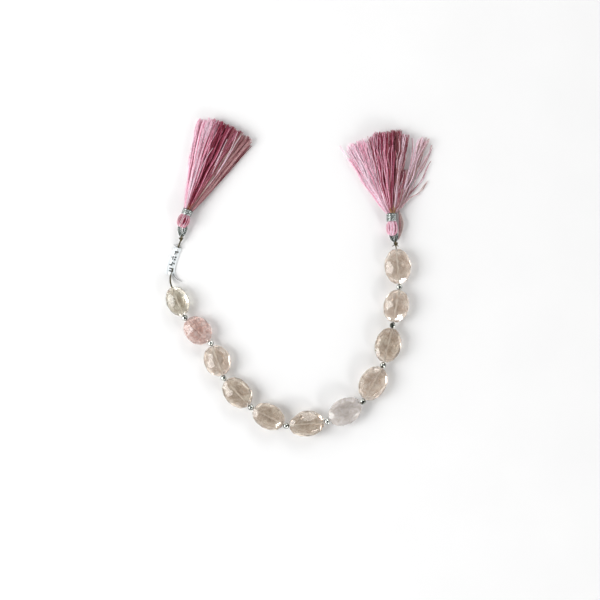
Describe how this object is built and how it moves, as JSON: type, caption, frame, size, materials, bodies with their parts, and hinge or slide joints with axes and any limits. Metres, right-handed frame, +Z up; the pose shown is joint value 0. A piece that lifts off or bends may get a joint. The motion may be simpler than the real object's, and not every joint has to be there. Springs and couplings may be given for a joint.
{
  "type": "prayer bead strand",
  "caption": "Strand of faceted oval stone beads with small polished spacers, a stringing cord and a silk tassel tied on at each end, laid out in an open U.",
  "frame": {"origin": "centre of the laid-out strand's box, on the surface it lies on", "axes": "+Z up out of that surface, +Y from the bottom of the U towards the tassels, +X towards the end without the label"},
  "size_m": [0.13, 0.1562, 0.007],
  "materials": {
    "rose_quartz": "polished",
    "polished_spacer": "polished",
    "stringing_cord": "satin",
    "label_paper": "matte",
    "metallic_thread": "satin",
    "pink_silk": "satin"
  },
  "bodies": {
    "thread_01": {"thread_in_bead_01": "stringing_cord"},
    "bead_01": {"bead_01": "rose_quartz"},
    "thread_02": {"thread_in_bead_02": "stringing_cord"},
    "bead_02": {"bead_02": "rose_quartz"},
    "thread_03": {"thread_in_bead_03": "stringing_cord"},
    "bead_03": {"bead_03": "rose_quartz"},
    "thread_04": {"thread_in_bead_04": "stringing_cord"},
    "bead_04": {"bead_04": "rose_quartz"},
    "thread_05": {"thread_in_bead_05": "stringing_cord"},
    "bead_05": {"bead_05": "rose_quartz"},
    "thread_06": {"thread_in_bead_06": "stringing_cord"},
    "bead_06": {"bead_06": "rose_quartz"},
    "thread_07": {"thread_in_bead_07": "stringing_cord"},
    "bead_07": {"bead_07": "rose_quartz"},
    "thread_08": {"thread_in_bead_08": "stringing_cord"},
    "bead_08": {"bead_08": "rose_quartz"},
    "thread_09": {"thread_in_bead_09": "stringing_cord"},
    "bead_09": {"bead_09": "rose_quartz"},
    "thread_10": {"thread_in_bead_10": "stringing_cord"},
    "bead_10": {"bead_10": "rose_quartz"},
    "thread_11": {"thread_in_bead_11": "stringing_cord"},
    "bead_11": {"bead_11": "rose_quartz"},
    "link_01": {"thread_in_spacer_01": "stringing_cord"},
    "spacer_01": {"spacer_01": "polished_spacer"},
    "link_02": {"thread_in_spacer_02": "stringing_cord"},
    "spacer_02": {"spacer_02": "polished_spacer"},
    "link_03": {"thread_in_spacer_03": "stringing_cord"},
    "spacer_03": {"spacer_03": "polished_spacer"},
    "link_04": {"thread_in_spacer_04": "stringing_cord"},
    "spacer_04": {"spacer_04": "polished_spacer"},
    "link_05": {"thread_in_spacer_05": "stringing_cord"},
    "spacer_05": {"spacer_05": "polished_spacer"},
    "link_06": {"thread_in_spacer_06": "stringing_cord"},
    "spacer_06": {"spacer_06": "polished_spacer"},
    "link_07": {"thread_in_spacer_07": "stringing_cord"},
    "spacer_07": {"spacer_07": "polished_spacer"},
    "link_08": {"thread_in_spacer_08": "stringing_cord"},
    "spacer_08": {"spacer_08": "polished_spacer"},
    "link_09": {"thread_in_spacer_09": "stringing_cord"},
    "spacer_09": {"spacer_09": "polished_spacer"},
    "link_10": {"thread_in_spacer_10": "stringing_cord"},
    "spacer_10": {"spacer_10": "polished_spacer"},
    "left_cord_lower": {"left_cord_lower": "stringing_cord"},
    "left_label": {"left_cord_in_label": "stringing_cord", "paper_label": "label_paper"},
    "left_cord_upper": {"left_cord_upper": "stringing_cord"},
    "left_knot": {"left_knot": "stringing_cord"},
    "left_tassel": {"left_loop": "metallic_thread", "left_head": "pink_silk", "left_wrap": "metallic_thread"},
    "left_skirt": {"left_skirt": "pink_silk"},
    "right_knot": {"right_knot": "stringing_cord"},
    "right_tassel": {"right_loop": "metallic_thread", "right_head": "pink_silk", "right_wrap": "metallic_thread", "right_slack_bundle": "pink_silk"},
    "right_skirt": {"right_skirt": "pink_silk"}
  },
  "joints": [
    {"name": "left_cord_swing", "type": "hinge", "parent": "thread_01", "child": "left_cord_lower", "pos_m": [-0.06192, -0.00535, 0.0035], "axis": [0, 0, 1], "range_deg": [-50, 50]},
    {"name": "left_label_lift", "type": "hinge", "parent": "left_cord_lower", "child": "left_label", "pos_m": [-0.06274, -0.00027, 0.00062], "axis": [-0.9636, 0.2672, 0], "range_deg": [-45, 45]},
    {"name": "left_upper_swing", "type": "hinge", "parent": "left_label", "child": "left_cord_upper", "pos_m": [-0.05889, 0.0136, 0.00062], "axis": [0, 0, -1], "range_deg": [-45, 45]},
    {"name": "left_knot_swing", "type": "hinge", "parent": "left_cord_upper", "child": "left_knot", "pos_m": [-0.05732, 0.0175, 0.0019], "axis": [0, 0, 1], "range_deg": [-45, 45]},
    {"name": "left_tassel_lift", "type": "hinge", "parent": "left_knot", "child": "left_tassel", "pos_m": [-0.05732, 0.0175, 0.0019], "axis": [-0.9736, 0.2284, 0], "range_deg": [-50, 50]},
    {"name": "left_skirt_bend", "type": "hinge", "parent": "left_tassel", "child": "left_skirt", "pos_m": [-0.05289, 0.03355, 0.0031], "axis": [0.9171, -0.3987, 0], "range_deg": [-35, 35]},
    {"name": "right_knot_swing", "type": "hinge", "parent": "thread_11", "child": "right_knot", "pos_m": [0.04652, 0.01497, 0.0035], "axis": [0, 0, -1], "range_deg": [-45, 45]},
    {"name": "right_tassel_lift", "type": "hinge", "parent": "right_knot", "child": "right_tassel", "pos_m": [0.04652, 0.01497, 0.0035], "axis": [0.9893, 0.1461, 0], "range_deg": [-50, 50]},
    {"name": "right_skirt_bend", "type": "hinge", "parent": "right_tassel", "child": "right_skirt", "pos_m": [0.04451, 0.03208, 0.0029], "axis": [-0.9997, -0.0262, 0], "range_deg": [-35, 35]},
    {"name": "link_06_swing", "type": "hinge", "parent": "thread_06", "child": "link_06", "pos_m": [0.01335, -0.07085, 0.0035], "axis": [0, 0, 1], "range_deg": [-68.7, 16]},
    {"name": "link_06_lift", "type": "hinge", "parent": "link_06", "child": "thread_07", "pos_m": [0.01335, -0.07085, 0.0035], "axis": [-0.4909, 0.8712, 0], "range_deg": [-40, 40]},
    {"name": "link_07_swing", "type": "hinge", "parent": "thread_07", "child": "link_07", "pos_m": [0.0306, -0.06113, 0.0035], "axis": [0, 0, -1], "range_deg": [-13.4, 76.6]},
    {"name": "link_07_lift", "type": "hinge", "parent": "link_07", "child": "thread_08", "pos_m": [0.0306, -0.06113, 0.0035], "axis": [0.8746, -0.4848, 0], "range_deg": [-40, 40]},
    {"name": "link_08_swing", "type": "hinge", "parent": "thread_08", "child": "link_08", "pos_m": [0.04034, -0.04355, 0.0035], "axis": [0, 0, 1], "range_deg": [-60.1, 29.9]},
    {"name": "link_08_lift", "type": "hinge", "parent": "link_08", "child": "thread_09", "pos_m": [0.04034, -0.04355, 0.0035], "axis": [-0.9707, 0.2402, 0], "range_deg": [-40, 40]},
    {"name": "link_09_swing", "type": "hinge", "parent": "thread_09", "child": "link_09", "pos_m": [0.0451, -0.02433, 0.0035], "axis": [0, 0, -1], "range_deg": [-40.9, 49.1]},
    {"name": "link_09_lift", "type": "hinge", "parent": "link_09", "child": "thread_10", "pos_m": [0.0451, -0.02433, 0.0035], "axis": [0.9854, -0.1702, 0], "range_deg": [-40, 40]},
    {"name": "link_10_swing", "type": "hinge", "parent": "thread_10", "child": "link_10", "pos_m": [0.0483, -0.0058, 0.0035], "axis": [0, 0, 1], "range_deg": [-59.7, 30.3]},
    {"name": "link_10_lift", "type": "hinge", "parent": "link_10", "child": "thread_11", "pos_m": [0.0483, -0.0058, 0.0035], "axis": [-0.9963, -0.0854, 0], "range_deg": [-40, 40]},
    {"name": "link_05_swing", "type": "hinge", "parent": "thread_06", "child": "link_05", "pos_m": [-0.00645, -0.07282, 0.0035], "axis": [0, 0, 1], "range_deg": [-11.8, 78.2]},
    {"name": "link_05_lift", "type": "hinge", "parent": "link_05", "child": "thread_05", "pos_m": [-0.00645, -0.07282, 0.0035], "axis": [-0.4617, -0.887, 0], "range_deg": [-40, 40]},
    {"name": "link_04_swing", "type": "hinge", "parent": "thread_05", "child": "link_04", "pos_m": [-0.02349, -0.06396, 0.0035], "axis": [0, 0, -1], "range_deg": [-64.6, 16]},
    {"name": "link_04_lift", "type": "hinge", "parent": "link_04", "child": "thread_04", "pos_m": [-0.02349, -0.06396, 0.0035], "axis": [0.7325, 0.6807, 0], "range_deg": [-40, 40]},
    {"name": "link_03_swing", "type": "hinge", "parent": "thread_04", "child": "link_03", "pos_m": [-0.03662, -0.04982, 0.0035], "axis": [0, 0, 1], "range_deg": [-22.4, 67.6]},
    {"name": "link_03_lift", "type": "hinge", "parent": "link_03", "child": "thread_03", "pos_m": [-0.03662, -0.04982, 0.0035], "axis": [-0.9379, -0.3469, 0], "range_deg": [-40, 40]},
    {"name": "link_02_swing", "type": "hinge", "parent": "thread_03", "child": "link_02", "pos_m": [-0.04287, -0.03294, 0.0035], "axis": [0, 0, -1], "range_deg": [-19.2, 38]},
    {"name": "link_02_lift", "type": "hinge", "parent": "link_02", "child": "thread_02", "pos_m": [-0.04287, -0.03294, 0.0035], "axis": [0.6934, 0.7206, 0], "range_deg": [-40, 40]},
    {"name": "link_01_swing", "type": "hinge", "parent": "thread_02", "child": "link_01", "pos_m": [-0.05555, -0.02073, 0.0035], "axis": [0, 0, 1], "range_deg": [-21.4, 68.6]},
    {"name": "link_01_lift", "type": "hinge", "parent": "link_01", "child": "thread_01", "pos_m": [-0.05555, -0.02073, 0.0035], "axis": [-0.9239, -0.3827, 0], "range_deg": [-40, 40]},
    {"name": "bead_01_spin", "type": "hinge", "parent": "thread_01", "child": "bead_01", "pos_m": [-0.05888, -0.01269, 0.0035], "axis": [0.3827, -0.9239, 0], "continuous": true},
    {"name": "bead_02_spin", "type": "hinge", "parent": "thread_02", "child": "bead_02", "pos_m": [-0.04921, -0.02683, 0.0035], "axis": [0.7206, -0.6934, 0], "continuous": true},
    {"name": "bead_03_spin", "type": "hinge", "parent": "thread_03", "child": "bead_03", "pos_m": [-0.03975, -0.04138, 0.0035], "axis": [0.3469, -0.9379, 0], "continuous": true},
    {"name": "bead_04_spin", "type": "hinge", "parent": "thread_04", "child": "bead_04", "pos_m": [-0.03005, -0.05689, 0.0035], "axis": [0.6807, -0.7325, 0], "continuous": true},
    {"name": "bead_05_spin", "type": "hinge", "parent": "thread_05", "child": "bead_05", "pos_m": [-0.01497, -0.06839, 0.0035], "axis": [0.887, -0.4617, 0], "continuous": true},
    {"name": "bead_06_spin", "type": "hinge", "parent": "thread_06", "child": "bead_06", "pos_m": [0.00345, -0.07183, 0.0035], "axis": [0.9951, 0.0993, 0], "continuous": true},
    {"name": "bead_07_spin", "type": "hinge", "parent": "thread_07", "child": "bead_07", "pos_m": [0.02197, -0.06599, 0.0035], "axis": [0.8712, 0.4909, 0], "continuous": true},
    {"name": "bead_08_spin", "type": "hinge", "parent": "thread_08", "child": "bead_08", "pos_m": [0.03547, -0.05234, 0.0035], "axis": [0.4848, 0.8746, 0], "continuous": true},
    {"name": "bead_09_spin", "type": "hinge", "parent": "thread_09", "child": "bead_09", "pos_m": [0.04272, -0.03394, 0.0035], "axis": [0.2402, 0.9707, 0], "continuous": true},
    {"name": "bead_10_spin", "type": "hinge", "parent": "thread_10", "child": "bead_10", "pos_m": [0.0467, -0.01506, 0.0035], "axis": [0.1702, 0.9854, 0], "continuous": true},
    {"name": "bead_11_spin", "type": "hinge", "parent": "thread_11", "child": "bead_11", "pos_m": [0.04745, 0.00411, 0.0035], "axis": [-0.0854, 0.9963, 0], "continuous": true},
    {"name": "spacer_01_spin", "type": "hinge", "parent": "link_01", "child": "spacer_01", "pos_m": [-0.05555, -0.02073, 0.0035], "axis": [0.5635, -0.8261, 0], "continuous": true},
    {"name": "spacer_02_spin", "type": "hinge", "parent": "link_02", "child": "spacer_02", "pos_m": [-0.04287, -0.03294, 0.0035], "axis": [0.5476, -0.8368, 0], "continuous": true},
    {"name": "spacer_03_spin", "type": "hinge", "parent": "link_03", "child": "spacer_03", "pos_m": [-0.03662, -0.04982, 0.0035], "axis": [0.524, -0.8517, 0], "continuous": true},
    {"name": "spacer_04_spin", "type": "hinge", "parent": "link_04", "child": "spacer_04", "pos_m": [-0.02349, -0.06396, 0.0035], "axis": [0.7955, -0.606, 0], "continuous": true},
    {"name": "spacer_05_spin", "type": "hinge", "parent": "link_05", "child": "spacer_05", "pos_m": [-0.00645, -0.07282, 0.0035], "axis": [0.982, -0.1891, 0], "continuous": true},
    {"name": "spacer_06_spin", "type": "hinge", "parent": "link_06", "child": "spacer_06", "pos_m": [0.01335, -0.07085, 0.0035], "axis": [0.9535, 0.3015, 0], "continuous": true},
    {"name": "spacer_07_spin", "type": "hinge", "parent": "link_07", "child": "spacer_07", "pos_m": [0.0306, -0.06113, 0.0035], "axis": [0.7046, 0.7096, 0], "continuous": true},
    {"name": "spacer_08_spin", "type": "hinge", "parent": "link_08", "child": "spacer_08", "pos_m": [0.04034, -0.04355, 0.0035], "axis": [0.3657, 0.9307, 0], "continuous": true},
    {"name": "spacer_09_spin", "type": "hinge", "parent": "link_09", "child": "spacer_09", "pos_m": [0.0451, -0.02433, 0.0035], "axis": [0.2054, 0.9787, 0], "continuous": true},
    {"name": "spacer_10_spin", "type": "hinge", "parent": "link_10", "child": "spacer_10", "pos_m": [0.0483, -0.0058, 0.0035], "axis": [0.0427, 0.9991, 0], "continuous": true}
  ]
}
